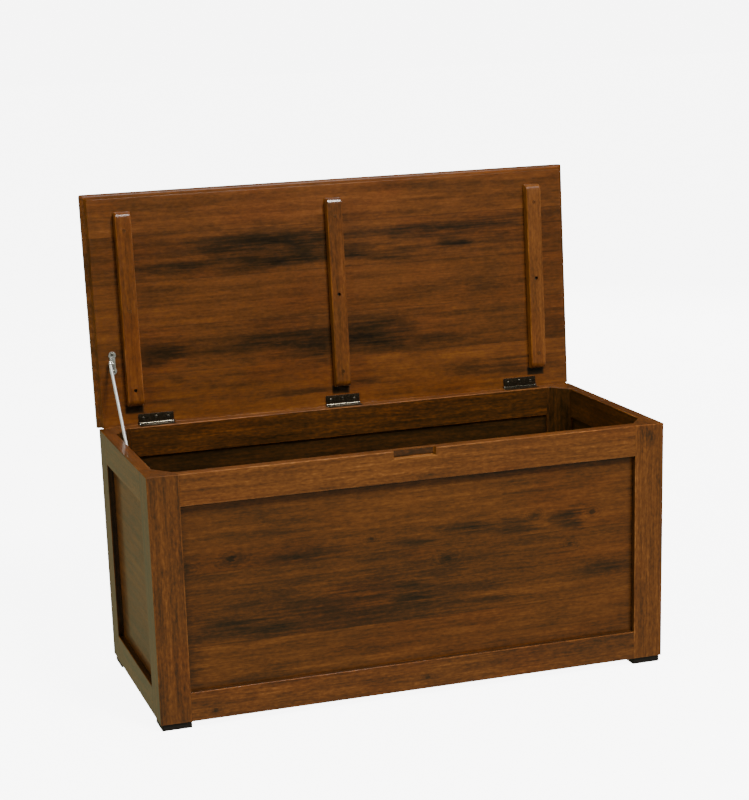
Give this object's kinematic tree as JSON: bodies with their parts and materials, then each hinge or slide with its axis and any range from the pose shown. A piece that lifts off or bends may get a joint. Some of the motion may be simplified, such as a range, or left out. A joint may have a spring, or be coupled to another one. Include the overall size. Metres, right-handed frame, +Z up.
{
  "type": "wooden storage chest",
  "caption": "Frame-and-panel wooden storage chest with a battened hinged lid, butt hinges, a sliding-rod lid stay and low feet.",
  "frame": {"origin": "on the floor, at the centre of the footprint that the chest takes with its lid open", "axes": "+X to the chest's right as seen from the front, along its length; +Y to the back, where the hinges are; +Z up"},
  "size_m": [1.0066, 0.5027, 0.9258],
  "materials": {
    "stained_wood": "stained and lacquered pine, glossy",
    "inner_wood": "stained wood, satin",
    "foot_black": "dark pad, matt",
    "dark_bronze": "dark bronzed steel",
    "pin_metal": "worn bright steel",
    "nickel": "bright nickel plate"
  },
  "bodies": {
    "carcass": {"bottom_board": "inner_wood", "bottom_cleat_front": "inner_wood", "bottom_cleat_left": "inner_wood", "bottom_cleat_rear": "inner_wood", "bottom_cleat_right": "inner_wood", "bottom_rail_front": "stained_wood", "bottom_rail_left": "stained_wood", "bottom_rail_rear": "stained_wood", "bottom_rail_right": "stained_wood", "foot_front_left": "foot_black", "foot_front_right": "foot_black", "foot_rear_left": "foot_black", "foot_rear_right": "foot_black", "hinge_body_leaf_left": "dark_bronze", "hinge_body_leaf_middle": "dark_bronze", "hinge_body_leaf_right": "dark_bronze", "hinge_pin_left": "pin_metal", "hinge_pin_middle": "pin_metal", "hinge_pin_right": "pin_metal", "panel_front": "stained_wood", "panel_left": "stained_wood", "panel_rear": "stained_wood", "panel_right": "stained_wood", "post_front_left": "stained_wood", "post_front_right": "stained_wood", "post_rear_left": "stained_wood", "post_rear_right": "stained_wood", "stay_base_screw_lower": "nickel", "stay_base_screw_upper": "nickel", "stay_guide_base": "nickel", "top_rail_front": "stained_wood", "top_rail_left": "stained_wood", "top_rail_rear": "stained_wood", "top_rail_right": "stained_wood"},
    "lid": {"batten_screw_left_front": "dark_bronze", "batten_screw_left_middle": "dark_bronze", "batten_screw_left_rear": "dark_bronze", "batten_screw_middle_front": "dark_bronze", "batten_screw_middle_middle": "dark_bronze", "batten_screw_middle_rear": "dark_bronze", "batten_screw_right_front": "dark_bronze", "batten_screw_right_middle": "dark_bronze", "batten_screw_right_rear": "dark_bronze", "hinge_lid_leaf_left": "dark_bronze", "hinge_lid_leaf_middle": "dark_bronze", "hinge_lid_leaf_right": "dark_bronze", "lid_batten_left": "stained_wood", "lid_batten_middle": "stained_wood", "lid_batten_right": "stained_wood", "lid_board": "stained_wood", "stay_lid_bracket": "nickel", "stay_lid_screw_front": "nickel", "stay_lid_screw_rear": "nickel", "stay_rivet": "nickel"},
    "stay_rod": {"stay_rod": "nickel", "stay_stop_collar": "nickel"},
    "stay_guide": {"stay_guide": "nickel"}
  },
  "joints": [
    {"name": "lid_hinge", "type": "hinge", "parent": "carcass", "child": "lid", "pos_m": [0, 0.189, 0.4776], "axis": [1, 0, 0], "range_deg": [0, 94.3]},
    {"name": "stay_rod_pivot", "type": "hinge", "parent": "lid", "child": "stay_rod", "pos_m": [-0.4685, 0.19126, 0.60174], "axis": [1, 0, 0], "range_deg": [-47.2, 0]},
    {"name": "stay_guide_swivel", "type": "hinge", "parent": "carcass", "child": "stay_guide", "pos_m": [-0.4685, 0.06728, 0.45306], "axis": [1, 0, 0], "range_deg": [0, 47.2]}
  ],
  "couplings": [
    {"joint": "stay_rod_pivot", "follows": "lid_hinge", "ratio": -0.5},
    {"joint": "stay_guide_swivel", "follows": "lid_hinge", "ratio": 0.5}
  ]
}
